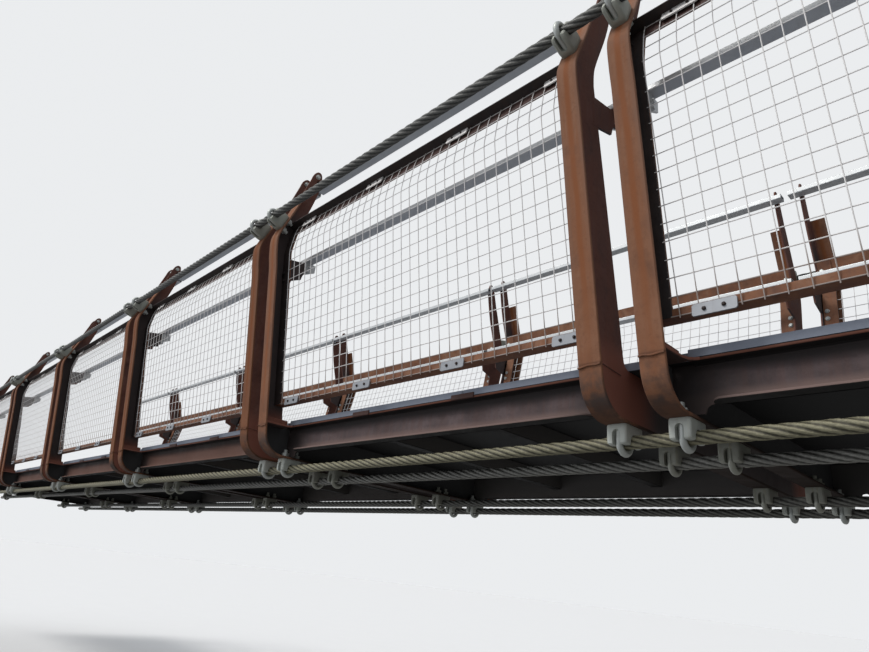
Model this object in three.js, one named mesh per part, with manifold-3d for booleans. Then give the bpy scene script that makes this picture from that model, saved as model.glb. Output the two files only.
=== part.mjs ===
// Suspension footbridge: six straight steel bays standing end to end on four
// wire ropes, with one more rope along each side at the top of the frames.
// Millimetres, +Z up. X runs along the bridge, Y across it, and the origin is
// under the middle of the bridge, level with the lowest rope clamps.
import * as THREE from 'three';
import { mergeVertices } from 'three/addons/utils/BufferGeometryUtils.js';
import Module from 'manifold-3d';

const wasm = await Module();
wasm.setup();

// Bays
const BAYS = 6;
const PITCH = 1850;
const PAIR_GAP = 102;
const CLEAR = 0.3;
const HALF_BAY = (PITCH - PAIR_GAP) / 2;

// Ropes
const ROPE_R = 18;
const ROPE_SIDES = 10;
const ROPE_Z = 37;
const ROPE_OVERHANG = 270;
const DECK_ROPE_Y = [-627, -348, 348, 627];
const TOP_ROPE = { y: 972, z: ROPE_Z + 1165 };

// Frames: a web plate facing out of the bay and a flange on its outer edge
const FLANGE = 68;
const WEB_T = 8;
const FLANGE_T = 9;
const FRAME_FOOT = ROPE_Z + 42;
const FLANGE_END = ROPE_Z + 1378;

// Floor: edge beams, joists and deck panels
const BEAM_Y = 680;
const BEAM_FLANGE = 46;
const BEAM_T = 7;
const BEAM_BOTTOM = ROPE_Z + 73;
const BEAM_TOP = ROPE_Z + 184;
const BEAM_COPE = 70;
const HAUNCH = 81;
const RIB = { x: 44, t: 8, height: 24 };
const JOIST_X = [-276, 276];
const JOIST_W = 50;
const JOIST_H = 70;
const DECK_T = 24;
const DECK_NARROW_Y = 660;
const DECK_END_GAP = 30;

// Side mesh panels: a flat bottom rail, an angle as the top rail, and a net that
// leans outward and then bends in to the angle's leg
const BOTTOM_RAIL = { inner: 699, outer: 748, bottom: ROPE_Z + 271, top: ROPE_Z + 294 };
const TOP_ANGLE = { corner: [838, ROPE_Z + 1155], lean: 15.8, leg: 48, shelf: 38, t: 6 };
const NET_PATH = [
  [751, ROPE_Z + 273],
  [857, ROPE_Z + 949],
  [864, ROPE_Z + 1005],
  [863, ROPE_Z + 1060],
  [855, ROPE_Z + 1110],
  [843, ROPE_Z + 1152],
];
const END_BAR = 40;
const WIRE = 10;
const PANEL_COLUMNS = 4;
const PANEL_ROWS = 3;

// Handrails, with a plate under each end, and top bars
const HANDRAIL = { inner: 699, outer: 745, bottom: ROPE_Z + 1018, top: ROPE_Z + 1038 };
const TOP_BAR = { inner: 692, outer: 740, bottom: ROPE_Z + 1465, top: ROPE_Z + 1489 };
const RAIL_END_GAP = 30;
const END_PLATE = { t: 8, inner: 682, outer: 740, innerBottom: ROPE_Z + 979, outerBottom: ROPE_Z + 947 };

const RUST = new THREE.MeshStandardMaterial({ color: 0x8a5434, roughness: 0.85, metalness: 0.25 });
const DARK_RUST = new THREE.MeshStandardMaterial({ color: 0x4d342b, roughness: 0.9, metalness: 0.2 });
const GALVANISED = new THREE.MeshStandardMaterial({ color: 0x9aa09f, roughness: 0.5, metalness: 0.8 });
const WIRE_ROPE = new THREE.MeshStandardMaterial({ color: 0x77776c, roughness: 0.7, metalness: 0.6 });

// A closed geometry becomes a solid once only its positions are left.
function solid(geometry) {
  let g = geometry.clone();
  g.deleteAttribute('normal');
  g.deleteAttribute('uv');
  g = mergeVertices(g, 1e-4);
  return new wasm.Manifold(new wasm.Mesh({
    numProp: 3,
    vertProperties: new Float32Array(g.attributes.position.array),
    triVerts: new Uint32Array(g.index.array),
  }));
}

function join(...solids) {
  return solids.flat().reduce((sum, next) => sum.add(next));
}

function meshOf(body, name, material) {
  const made = body.getMesh();
  const g = new THREE.BufferGeometry();
  g.setAttribute('position', new THREE.BufferAttribute(new Float32Array(made.vertProperties), 3));
  g.setIndex(new THREE.BufferAttribute(new Uint32Array(made.triVerts), 1));
  g.computeVertexNormals();
  const mesh = new THREE.Mesh(g, material);
  mesh.name = name;
  return mesh;
}

// The same outline, always counter-clockwise.
function turned(points) {
  const flat = points.map(([y, z]) => new THREE.Vector2(y, z));
  return THREE.ShapeUtils.area(flat) < 0 ? flat.reverse() : flat;
}

// A flat outline in Y and Z, with holes, made thick along X from x0 to x1.
function plate(points, x0, x1, holes = []) {
  const shape = new THREE.Shape(turned(points));
  for (const hole of holes) {
    shape.holes.push(new THREE.Path(turned(hole)));
  }
  const g = new THREE.ExtrudeGeometry(shape, { depth: x1 - x0, bevelEnabled: false, steps: 1 });
  const axes = new THREE.Matrix4().makeBasis(
    new THREE.Vector3(0, 1, 0), new THREE.Vector3(0, 0, 1), new THREE.Vector3(1, 0, 0));
  g.applyMatrix4(axes);
  g.translate(x0, 0, 0);
  return solid(g);
}

// A box given by its two corners.
function block([x0, y0, z0], [x1, y1, z1]) {
  const g = new THREE.BoxGeometry(x1 - x0, y1 - y0, z1 - z0);
  g.translate((x0 + x1) / 2, (y0 + y1) / 2, (z0 + z1) / 2);
  return solid(g);
}

// Points of a circular arc in the Y, Z plane, angles in degrees.
function arc(y, z, radius, from, to, steps) {
  const points = [];
  for (let i = 0; i <= steps; i += 1) {
    const a = THREE.MathUtils.degToRad(from + ((to - from) * i) / steps);
    points.push([y + radius * Math.cos(a), z + radius * Math.sin(a)]);
  }
  return points;
}

const mirrored = (points) => points.map(([y, z]) => [-y, z]).reverse();

// Outer edge of half a frame, from the middle of its foot to its tip.
const frameOuter = [
  ...arc(688, FRAME_FOOT + 106, 106, -90, -8.7, 3),
  [934, ROPE_Z + 968],
  [944, ROPE_Z + 1040],
  [935, ROPE_Z + 1092],
  [897, ROPE_Z + 1200],
  [806, ROPE_Z + 1478],
];
const frameTip = [
  [793, ROPE_Z + 1528],
  [771, ROPE_Z + 1552],
  [750, ROPE_Z + 1546],
  [742, ROPE_Z + 1510],
];
// Inner edge of half a frame, from its tip back to the middle of its foot.
const frameInner = [
  [744, ROPE_Z + 1448],
  [780, ROPE_Z + 1290],
  [829, ROPE_Z + 1145],
  [845, ROPE_Z + 1085],
  [846, ROPE_Z + 1030],
  [703, ROPE_Z + 290],
  [686, BEAM_TOP + 18],
  [664, BEAM_TOP - CLEAR],
];

function frameWeb(x0, x1) {
  const right = [...frameOuter, ...frameTip, ...frameInner];
  return plate([...right, ...mirrored(right)], x0, x1);
}

// A curve moved to its left by t.
function offset(points, t) {
  return points.map((p, i) => {
    const a = points[Math.max(i - 1, 0)];
    const b = points[Math.min(i + 1, points.length - 1)];
    const dy = b[0] - a[0];
    const dz = b[1] - a[1];
    const length = Math.hypot(dy, dz);
    return [p[0] - (t * dz) / length, p[1] + (t * dy) / length];
  });
}

// The flange follows the outer edge and stops below the tip.
function frameFlange(x0, x1) {
  const low = frameOuter[frameOuter.length - 2];
  const tip = frameOuter[frameOuter.length - 1];
  const part = (FLANGE_END - low[1]) / (tip[1] - low[1]);
  const end = [low[0] + part * (tip[0] - low[0]), FLANGE_END];
  const half = [...frameOuter.slice(0, -1), end];
  const outer = [...mirrored(half), ...half];
  const inner = offset(outer, FLANGE_T);
  return plate([...outer, ...inner.reverse()], x0, x1);
}

// A rope clamp: a saddle on the flange and a U-bolt round the rope, as one
// outline with a six-sided hole. (y, z) is the rope, (ny, nz) points from the
// frame to the rope and reach is the distance from flange to rope.
function clamp(x, y, z, ny, nz, reach, base) {
  const ty = -nz;
  const tz = ny;
  const at = (u, w) => [y + ty * u + ny * w, z + tz * u + nz * w];
  const round = arc(0, 0, 38.9, 0, 180, 5).map(([u, w]) => at(u, w));
  const outline = [...round, at(-base / 2, -reach - 2), at(base / 2, -reach - 2)];
  const hole = arc(0, 0, ROPE_R / Math.cos(Math.PI / 6) + 0.6, 0, 300, 5).map(([u, w]) => at(u, w));
  return plate(outline, x - 15, x + 15, [hole]);
}

function clampsOf(x) {
  const made = DECK_ROPE_Y.map((y) => clamp(x, y, ROPE_Z, 0, -1, 42, 72));
  for (const side of [-1, 1]) {
    const ny = side * 0.9503;
    made.push(clamp(x, side * TOP_ROPE.y, TOP_ROPE.z, ny, 0.3112, 60.5, 108));
  }
  return made;
}

// Lug that carries the handrail; the rail's end plate is bolted to its face.
function handrailLug(side, out) {
  const lug = [
    [706, HANDRAIL.bottom - CLEAR],
    [745, HANDRAIL.bottom - CLEAR],
    [752, ROPE_Z + 1010],
    [850, ROPE_Z + 992],
    [850, ROPE_Z + 884],
    [800, ROPE_Z + 900],
    [747, ROPE_Z + 916],
    [738, ROPE_Z + 950],
    [706, ROPE_Z + 967],
  ];
  const web = [out * (HALF_BAY - WEB_T), out * HALF_BAY].sort((a, b) => a - b);
  return plate(side > 0 ? lug : mirrored(lug), web[0], web[1]);
}

// Plate at deck height between the leg's flange and the edge beam, the rib
// that stands on it, and the pad on the tip that the top bar is bolted to.
function framePlates(side, out) {
  const whole = [out * (HALF_BAY - FLANGE), out * HALF_BAY].sort((a, b) => a - b);
  const web = [out * (HALF_BAY - WEB_T), out * HALF_BAY].sort((a, b) => a - b);
  const deep = [side * (BEAM_Y + 2), side * 797].sort((a, b) => a - b);
  const rib = out * (HALF_BAY - RIB.x);
  const pad = [side * (TOP_BAR.outer + CLEAR), side * 770].sort((a, b) => a - b);
  return [
    block([whole[0], deep[0], BEAM_TOP - 8], [whole[1], deep[1], BEAM_TOP]),
    block([rib - RIB.t / 2, deep[0], BEAM_TOP - 2], [rib + RIB.t / 2, deep[1], BEAM_TOP + RIB.height]),
    block([web[0], pad[0], TOP_BAR.bottom - 8], [web[1], pad[1], TOP_BAR.top + 8]),
  ];
}

// One frame; out is +1 for the frame at the bay's +X end and -1 for the other.
function frame(name, xBay, out) {
  const web = [out * (HALF_BAY - WEB_T), out * HALF_BAY].sort((a, b) => a - b);
  const flange = [out * (HALF_BAY - FLANGE), out * HALF_BAY].sort((a, b) => a - b);
  const body = join(
    frameWeb(web[0], web[1]),
    frameFlange(flange[0], flange[1]),
    clampsOf(out * (HALF_BAY - FLANGE / 2)),
    ...[-1, 1].map((side) => [handrailLug(side, out), ...framePlates(side, out)]),
  );
  const mesh = meshOf(body, name, RUST);
  mesh.position.x = xBay;
  return mesh;
}

// Edge beams, toes outward. At each frame the bottom flange is cut back and the
// web reaches down to the frame's foot as a haunch.
function edgeBeam(side) {
  const reach = HALF_BAY - WEB_T - CLEAR;
  const toe = HALF_BAY - FLANGE - CLEAR;
  const web = [side * (BEAM_Y - BEAM_FLANGE), side * (BEAM_Y - BEAM_FLANGE + BEAM_T)].sort((a, b) => a - b);
  const wide = [side * (BEAM_Y - BEAM_FLANGE), side * BEAM_Y].sort((a, b) => a - b);
  return [
    block([-reach, web[0], BEAM_BOTTOM], [reach, web[1], BEAM_TOP]),
    block([-toe, wide[0], BEAM_TOP - BEAM_T], [toe, wide[1], BEAM_TOP]),
    block([-(toe - BEAM_COPE), wide[0], BEAM_BOTTOM], [toe - BEAM_COPE, wide[1], BEAM_BOTTOM + BEAM_T]),
    ...[-1, 1].map((out) => {
      const along = [out * (reach - HAUNCH), out * reach].sort((a, b) => a - b);
      return block([along[0], web[0], FRAME_FOOT + FLANGE_T + CLEAR], [along[1], web[1], BEAM_BOTTOM + 2]);
    }),
  ];
}

// Joists between the edge beams.
function joists() {
  const y = BEAM_Y - BEAM_FLANGE + 1;
  return JOIST_X.map((x) => block(
    [x - JOIST_W / 2, -y, BEAM_TOP - JOIST_H], [x + JOIST_W / 2, y, BEAM_TOP]));
}

// Deck: full width between the frames, narrower where it passes the legs.
function deck() {
  const x1 = PITCH / 2 - DECK_END_GAP / 2;
  const y1 = DECK_NARROW_Y;
  const toe = HALF_BAY - FLANGE - CLEAR;
  return [
    block([-toe, -BEAM_Y, BEAM_TOP - 0.5], [toe, BEAM_Y, BEAM_TOP + DECK_T]),
    block([-x1, -y1, BEAM_TOP], [x1, y1, BEAM_TOP + DECK_T]),
  ];
}

function floorUnit(name, xBay) {
  const body = join(edgeBeam(-1), edgeBeam(1), joists(), deck());
  const mesh = meshOf(body, name, DARK_RUST);
  mesh.position.x = xBay;
  return mesh;
}

// Outline of the top rail, its leg down the inner side of the net.
function angleOutline() {
  const { corner, leg, shelf, t } = TOP_ANGLE;
  const a = THREE.MathUtils.degToRad(TOP_ANGLE.lean);
  const at = (across, up) => [
    corner[0] + across * Math.cos(a) - up * Math.sin(a),
    corner[1] + across * Math.sin(a) + up * Math.cos(a),
  ];
  return [at(0, 0), at(shelf, 0), at(shelf, t), at(-t, t), at(-t, -leg), at(0, -leg)];
}

// Side panel: two rails, two end bars and a coarse net of wires between them.
function sidePanel(name, xBay, side) {
  const reach = HALF_BAY - WEB_T - CLEAR;
  const inside = reach - END_BAR;
  const profile = (points, x0, x1) => plate(side > 0 ? points : mirrored(points), x0, x1);
  const netOutline = [...offset(NET_PATH, WIRE / 2), ...offset(NET_PATH, -WIRE / 2).reverse()];
  const [low, bend] = NET_PATH;
  const wireAt = (z) => {
    const y = low[0] + ((bend[0] - low[0]) * (z - low[1])) / (bend[1] - low[1]);
    return [[y - WIRE / 2, z - WIRE / 2], [y + WIRE / 2, z - WIRE / 2],
      [y + WIRE / 2, z + WIRE / 2], [y - WIRE / 2, z + WIRE / 2]];
  };
  const pieces = [
    profile([
      [BOTTOM_RAIL.inner, BOTTOM_RAIL.bottom], [BOTTOM_RAIL.outer, BOTTOM_RAIL.bottom],
      [BOTTOM_RAIL.outer, BOTTOM_RAIL.top], [BOTTOM_RAIL.inner, BOTTOM_RAIL.top],
    ], -reach, reach),
    profile(angleOutline(), -reach, reach),
    profile(netOutline, -reach, -inside),
    profile(netOutline, inside, reach),
  ];
  for (let i = 1; i < PANEL_COLUMNS; i += 1) {
    const x = -inside + (2 * inside * i) / PANEL_COLUMNS;
    pieces.push(profile(netOutline, x - WIRE / 2, x + WIRE / 2));
  }
  const high = NET_PATH[NET_PATH.length - 1];
  for (let j = 1; j < PANEL_ROWS; j += 1) {
    const z = low[1] + ((high[1] - low[1]) * j) / PANEL_ROWS;
    pieces.push(profile(wireAt(z), -inside - 2, inside + 2));
  }
  const mesh = meshOf(join(pieces), name, GALVANISED);
  mesh.position.x = xBay;
  return mesh;
}

// A flat rail of one bay, ending short of the next bay's.
function rail(name, xBay, side, size, ends = []) {
  const reach = (PITCH - RAIL_END_GAP) / 2;
  const across = [side * size.inner, side * size.outer].sort((a, b) => a - b);
  const body = join(block([-reach, across[0], size.bottom], [reach, across[1], size.top]), ends);
  const mesh = meshOf(body, name, GALVANISED);
  mesh.position.x = xBay;
  return mesh;
}

// Plates across the rail under its ends, each against a lug.
function endPlates(side) {
  const points = [
    [END_PLATE.inner, END_PLATE.innerBottom],
    [END_PLATE.outer, END_PLATE.outerBottom],
    [END_PLATE.outer, HANDRAIL.bottom + 2],
    [END_PLATE.inner, HANDRAIL.bottom + 2],
  ];
  const face = HALF_BAY - WEB_T - CLEAR;
  return [-1, 1].map((out) => {
    const along = [out * (face - END_PLATE.t), out * face].sort((a, b) => a - b);
    return plate(side > 0 ? points : mirrored(points), along[0], along[1]);
  });
}

// A wire rope, straight and taut, running past both ends of the bridge.
function rope(name, y, z) {
  const length = BAYS * PITCH - PAIR_GAP + 2 * ROPE_OVERHANG;
  const g = new THREE.CylinderGeometry(ROPE_R, ROPE_R, length, ROPE_SIDES, 1);
  const mesh = new THREE.Mesh(g, WIRE_ROPE);
  mesh.name = name;
  mesh.rotation.z = Math.PI / 2;
  mesh.position.set(0, y, z);
  return mesh;
}

const bridge = new THREE.Group();
bridge.name = 'suspension_footbridge';

DECK_ROPE_Y.forEach((y, i) => bridge.add(rope(`deck_rope_${i + 1}`, y, ROPE_Z)));
bridge.add(rope('top_rope_near', -TOP_ROPE.y, TOP_ROPE.z));
bridge.add(rope('top_rope_far', TOP_ROPE.y, TOP_ROPE.z));

for (let bay = 1; bay <= BAYS; bay += 1) {
  const x = (bay - (BAYS + 1) / 2) * PITCH;
  bridge.add(frame(`u_frame_${bay}_left`, x, -1));
  bridge.add(frame(`u_frame_${bay}_right`, x, 1));
  bridge.add(floorUnit(`floor_${bay}`, x));
  for (const [side, where] of [[-1, 'near'], [1, 'far']]) {
    bridge.add(sidePanel(`side_mesh_${where}_${bay}`, x, side));
    bridge.add(rail(`handrail_${where}_${bay}`, x, side, HANDRAIL, endPlates(side)));
    bridge.add(rail(`top_bar_${where}_${bay}`, x, side, TOP_BAR));
  }
}

export default bridge;
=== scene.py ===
"""Suspension footbridge: the looks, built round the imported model.

Lengths are in millimetres in the building code and become metres in each mesh.
X runs along the bridge, Y across it and Z up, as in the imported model.
"""

import math

import bmesh
import bpy
from mathutils import Matrix, Vector


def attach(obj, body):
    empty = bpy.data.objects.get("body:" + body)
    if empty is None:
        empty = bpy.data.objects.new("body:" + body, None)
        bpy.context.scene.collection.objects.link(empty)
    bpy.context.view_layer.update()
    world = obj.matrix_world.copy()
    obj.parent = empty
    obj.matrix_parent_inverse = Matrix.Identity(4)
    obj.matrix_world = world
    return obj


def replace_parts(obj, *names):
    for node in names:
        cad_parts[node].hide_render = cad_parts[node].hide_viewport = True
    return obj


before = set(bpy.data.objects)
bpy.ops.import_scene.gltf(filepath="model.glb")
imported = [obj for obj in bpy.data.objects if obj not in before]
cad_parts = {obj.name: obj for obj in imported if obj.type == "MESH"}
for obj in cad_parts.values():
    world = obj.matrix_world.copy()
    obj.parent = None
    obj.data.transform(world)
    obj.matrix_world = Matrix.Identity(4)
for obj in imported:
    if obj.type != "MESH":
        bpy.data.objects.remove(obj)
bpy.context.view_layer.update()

# Bays
BAYS = 6
PITCH = 1850
HALF_BAY = 874
CLEAR = 0.3

# Ropes
ROPE_R = 18
ROPE_Z = 37
ROPE_LENGTH = 11538
ROPE_LAY = 265
DECK_ROPE_Y = [-627, -348, 348, 627]
TOP_ROPE_Y = 972
TOP_ROPE_Z = ROPE_Z + 1165

# Frames
FLANGE = 68
WEB_T = 8
FLANGE_T = 9
FRAME_FOOT = ROPE_Z + 42
FLANGE_END = ROPE_Z + 1378
CLAMP_X = HALF_BAY - FLANGE / 2
WEB_X = (FLANGE / 2 - WEB_T, FLANGE / 2 - 0.4)
FOOT_BEND = {"y": 688, "r": 106}
LEG_FOOT = (794, 169)
LEG_SLOPE = 0.163
JOINT_Z = ROPE_Z + 163
JOINT_FACE = 799
FLOOR_PLATE = {"t": 8, "outer": 795, "toe": 30}
RIB = {"x": 10, "t": 8, "height": 24}
PAD = {"outer": 770, "edge": 8}
TIP_BOLT = (770, ROPE_Z + 1518)

# Rope clamps
BOLT_R = 9
BEND_R = 28
BOLT_SLOT_R = 11
GROOVE_R = ROPE_R + 0.6
DECK_REACH = 42
TOP_REACH = 60.5
TOP_CLAMP_LEAN = math.atan2(0.9503, 0.3112)
WASHER = {"r": 20, "t": 3}
NUT = {"r": 17, "t": 14}

# Floor
BEAM_Y = 680
BEAM_FLANGE = 46
BEAM_T = 7
BEAM_BOTTOM = ROPE_Z + 73
BEAM_TOP = ROPE_Z + 184
BEAM_COPE = 70
HAUNCH = 81
JOIST_X = [-276, 276]
JOIST_W = 50
JOIST_H = 70
JOIST_PLATE = {"half": 52, "below": 7, "above": 11}
DECK_T = 24
DECK_SEAM = 1.5
DECK_NARROW_Y = 660
DECK_END = 910

# Side panels
RAIL_REACH = HALF_BAY - WEB_T - CLEAR
BOTTOM_RAIL = {"inner": 699, "outer": 748, "bottom": ROPE_Z + 271, "top": ROPE_Z + 294}
TOP_ANGLE = {"corner": (838, ROPE_Z + 1155), "lean": 15.8, "leg": 48, "shelf": 38, "t": 5}
END_BAR = 57
# Each layer of an end bar: its two depths behind the net, and its material's index; the front layer's
# near-black is painted shade
END_BAR_LAYERS = ((2.6, 7.4, 1), (7.2, 12.4, 0))
END_BOLT_IN = 24
NET_CORNERS = [(750.5, ROPE_Z + 271), (866, ROPE_Z + 1008), (854.5, ROPE_Z + 1109), (841.5, ROPE_Z + 1155)]
WIRE_R = 1.6
NET_PITCH = 48.4
NET_COLUMNS = 33
NET_LEAN = 0.025
NET_ROWS = 18
NET_OVERHANG = 13
CLIP = {"half": 53, "half_height": 15.5, "corner": 6, "t": 4.2, "bolt_x": 23}
TOP_CLIP = (8, -14)
CLIP_X = {-1: [-703, -200, 290, 742], 1: [-740, -250, 235, 722]}
END_BOLTS = (603, 642, 800, 845)

# Handrails and top bars
HANDRAIL = {"inner": 699, "outer": 745, "bottom": ROPE_Z + 1018, "top": ROPE_Z + 1038}
TOP_BAR = {"inner": 692, "outer": 740, "bottom": ROPE_Z + 1465, "top": ROPE_Z + 1489}
BAR_REACH = PITCH / 2 - 15
BAR_WALL = 2.6
BAR_HOLLOW = 30
END_PLATE = {"t": 8, "inner": 682, "outer": 740, "inner_bottom": ROPE_Z + 979, "outer_bottom": ROPE_Z + 947}
END_PLATE_BOLTS = [(720, ROPE_Z + 971), (720, ROPE_Z + 997)]

# Camera, fitted to the photograph: its axes, its place in metres, its focal length
# and the photograph's width in pixels, and the sensor's width in millimetres
CAMERA_RIGHT = (0.6928850, 0.7130257, 0.1072598)
CAMERA_DOWN = (-0.2019727, 0.3347250, -0.9204163)
CAMERA_AHEAD = (-0.6921830, 0.6160791, 0.3759377)
CAMERA_PLACE = (4.45812, -2.09256, -0.34486)
FOCAL_LENGTH = 618.435
PHOTO_WIDTH = 869
SENSOR_WIDTH = 36

# Stage
STAGE_RADIUS = 90000
GROUND_Z = -1500

BAY_CENTRES = [(bay - (BAYS - 1) / 2) * PITCH for bay in range(BAYS)]


# Meshes

class Mesh:
    """Vertices and faces of one piece, in millimetres."""

    def __init__(self):
        self.verts = []
        self.faces = []
        self.paint = []

    def add(self, shape, paint=0):
        """Adds a shape; paint is its material's index on the piece, or a list of one for each face."""
        verts, faces = shape
        first = len(self.verts)
        self.verts += [tuple(v) for v in verts]
        self.faces += [[first + i for i in f] for f in faces]
        self.paint += paint if isinstance(paint, list) else [paint] * len(faces)

    def piece(self, name, materials, slot, origin=(0, 0, 0), crease=35):
        """Makes the object, and makes it ride on the bridge if it has a slot."""
        data = bpy.data.meshes.new(name)
        data.from_pydata([[c / 1000 for c in v] for v in self.verts], [], self.faces)
        data.polygons.foreach_set("material_index", self.paint)
        for material in materials:
            data.materials.append(material)
        solid = bmesh.new()
        solid.from_mesh(data)
        bmesh.ops.recalc_face_normals(solid, faces=solid.faces)
        solid.to_mesh(data)
        solid.free()
        data.shade_smooth()
        data.set_sharp_from_angle(angle=math.radians(crease))
        obj = bpy.data.objects.new(name, data)
        bpy.context.scene.collection.objects.link(obj)
        obj.location = [c / 1000 for c in origin]
        if slot:
            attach(obj, "root")
        return obj


def ordered(a, b):
    return (a, b) if a < b else (b, a)


def turns(count, start=0.0):
    """Angles of equal steps round a circle."""
    return [2 * math.pi * (start + k) / count for k in range(count)]


def loft(rings, caps=True):
    """Closed rings of equal length, joined one to the next."""
    n = len(rings[0])
    verts = [p for ring in rings for p in ring]
    faces = []
    for r in range(len(rings) - 1):
        for i in range(n):
            j = (i + 1) % n
            faces.append([r * n + i, r * n + j, (r + 1) * n + j, (r + 1) * n + i])
    if caps:
        faces.append(list(range(n))[::-1])
        faces.append([(len(rings) - 1) * n + i for i in range(n)])
    return verts, faces


def area(points):
    return sum(a[0] * b[1] - b[0] * a[1] for a, b in zip(points, points[1:] + points[:1])) / 2


def inset(points, c):
    """A closed outline moved inward by c; the outline runs counter-clockwise."""
    out = []
    n = len(points)
    for i, point in enumerate(points):
        p, a, b = Vector(point), Vector(points[i - 1]), Vector(points[(i + 1) % n])
        d1, d2 = (p - a).normalized(), (b - p).normalized()
        n1, n2 = Vector((-d1.y, d1.x)), Vector((-d2.y, d2.x))
        m = n1 + n2
        m = m / max(m.dot(n1), 0.4)
        out.append((p.x + m.x * c, p.y + m.y * c))
    return out


PLACE = {
    "x": lambda h, u, v: (h, u, v),
    "y": lambda h, u, v: (u, h, v),
    "z": lambda h, u, v: (u, v, h),
}


def plate(points, start, end, c=1.0, axis="x"):
    """A flat outline made thick along an axis, with chamfered edges."""
    start, end = ordered(start, end)
    if area(points) < 0:
        points = points[::-1]
    small = inset(points, c)
    place = PLACE[axis]
    rings = [[place(h, u, v) for u, v in ring] for h, ring in
             ((start, small), (start + c, points), (end - c, points), (end, small))]
    return loft(rings)


def block(lo, hi, c=1.2):
    """A box between two corners, with chamfered edges."""
    (x0, x1), (y0, y1), (z0, z1) = [ordered(a, b) for a, b in zip(lo, hi)]
    c = min(c, (x1 - x0) * 0.4, (y1 - y0) * 0.4, (z1 - z0) * 0.4)
    octagon = [(y0 + c, z0), (y1 - c, z0), (y1, z0 + c), (y1, z1 - c),
               (y1 - c, z1), (y0 + c, z1), (y0, z1 - c), (y0, z0 + c)]
    return plate(octagon, x0, x1, c)


def tube(path, radius, sides=12):
    """A round bar along a path of points."""
    path = [Vector(p) for p in path]
    rings = []
    side = None
    for i, p in enumerate(path):
        along = (path[min(i + 1, len(path) - 1)] - path[max(i - 1, 0)]).normalized()
        side = side or along.orthogonal().normalized()
        side = (side - along * side.dot(along)).normalized()
        other = along.cross(side)
        rings.append([p + (side * math.cos(t) + other * math.sin(t)) * radius for t in turns(sides)])
    return loft(rings)


def disc(centre, axis, radius, height, sides=20, c=0.8):
    """A round or hexagonal prism that stands on centre and points along axis."""
    axis = Vector(axis).normalized()
    side = axis.orthogonal().normalized()
    other = axis.cross(side)
    rings = []
    for h, r in ((0, radius), (height - c, radius), (height, radius - c)):
        rings.append([Vector(centre) + axis * h + (side * math.cos(t) + other * math.sin(t)) * r
                      for t in turns(sides, 0.5)])
    return loft(rings)


def add_bolt(mesh, centre, axis, size=12, head=None, stub=0.0, paint=0):
    """A washer and a hexagonal head, with a stub of thread past it if stub is given."""
    axis = Vector(axis).normalized()
    centre = Vector(centre)
    head = head or size * 0.64
    washer = 2.4
    mesh.add(disc(centre, axis, size * 1.12, washer, 20, 0.5), paint)
    mesh.add(disc(centre + axis * washer, axis, size * 0.92, head, 6, 1.0), paint)
    if stub:
        mesh.add(disc(centre + axis * (washer + head), axis, size * 0.48, stub, 14, 1.2), paint)


def arc(y, z, radius, start, end, steps):
    """Points of a circular arc, angles in degrees."""
    return [(y + radius * math.cos(math.radians(start + (end - start) * i / steps)),
             z + radius * math.sin(math.radians(start + (end - start) * i / steps)))
            for i in range(steps + 1)]


def rounded(a, b, r, steps=6):
    """A rectangle of half sizes a and b with rounded corners."""
    return (arc(a - r, b - r, r, 0, 90, steps) + arc(r - a, b - r, r, 90, 180, steps)
            + arc(r - a, r - b, r, 180, 270, steps) + arc(a - r, r - b, r, 270, 360, steps))


def smooth_curve(points, steps):
    """A curve through the points, as a Catmull-Rom spline."""
    out = []
    n = len(points)
    for i in range(n - 1):
        p0 = Vector(points[max(i - 1, 0)])
        p1, p2 = Vector(points[i]), Vector(points[i + 1])
        p3 = Vector(points[min(i + 2, n - 1)])
        for k in range(steps):
            t = k / steps
            p = 0.5 * ((2 * p1) + (p2 - p0) * t + (2 * p0 - 5 * p1 + 4 * p2 - p3) * t * t
                       + (3 * p1 - p0 - 3 * p2 + p3) * t ** 3)
            out.append((p.x, p.y))
    out.append(tuple(points[-1]))
    return out


def mirrored(points):
    return [(-y, z) for y, z in points][::-1]


def shifted(path, distance):
    """An open path moved to its left by distance."""
    out = []
    for i, (y, z) in enumerate(path):
        a = path[max(i - 1, 0)]
        b = path[min(i + 1, len(path) - 1)]
        length = math.hypot(b[0] - a[0], b[1] - a[1])
        out.append((y - (b[1] - a[1]) / length * distance, z + (b[0] - a[0]) / length * distance))
    return out


def softened(points, reach, steps=6):
    """An open path whose inner corners become short curves."""
    out = [tuple(points[0])]
    for a, b, c in zip(points, points[1:], points[2:]):
        a, b, c = Vector(a), Vector(b), Vector(c)
        start = b + (a - b).normalized() * reach
        end = b + (c - b).normalized() * reach
        for k in range(steps + 1):
            t = k / steps
            p = start * (1 - t) ** 2 + b * 2 * t * (1 - t) + end * t ** 2
            out.append((p.x, p.y))
    return out + [tuple(points[-1])]


def path_length(path):
    return sum(math.dist(a, b) for a, b in zip(path, path[1:]))


def point_at(path, distance):
    """The point of an open path at a distance from its start."""
    for a, b in zip(path, path[1:]):
        step = math.dist(a, b)
        if distance <= step:
            return tuple(u + (v - u) * distance / step for u, v in zip(a, b))
        distance -= step
    return path[-1]


# Materials. Places inside them are in metres, from the piece's own origin in
# local and from the bridge's in place.

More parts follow.
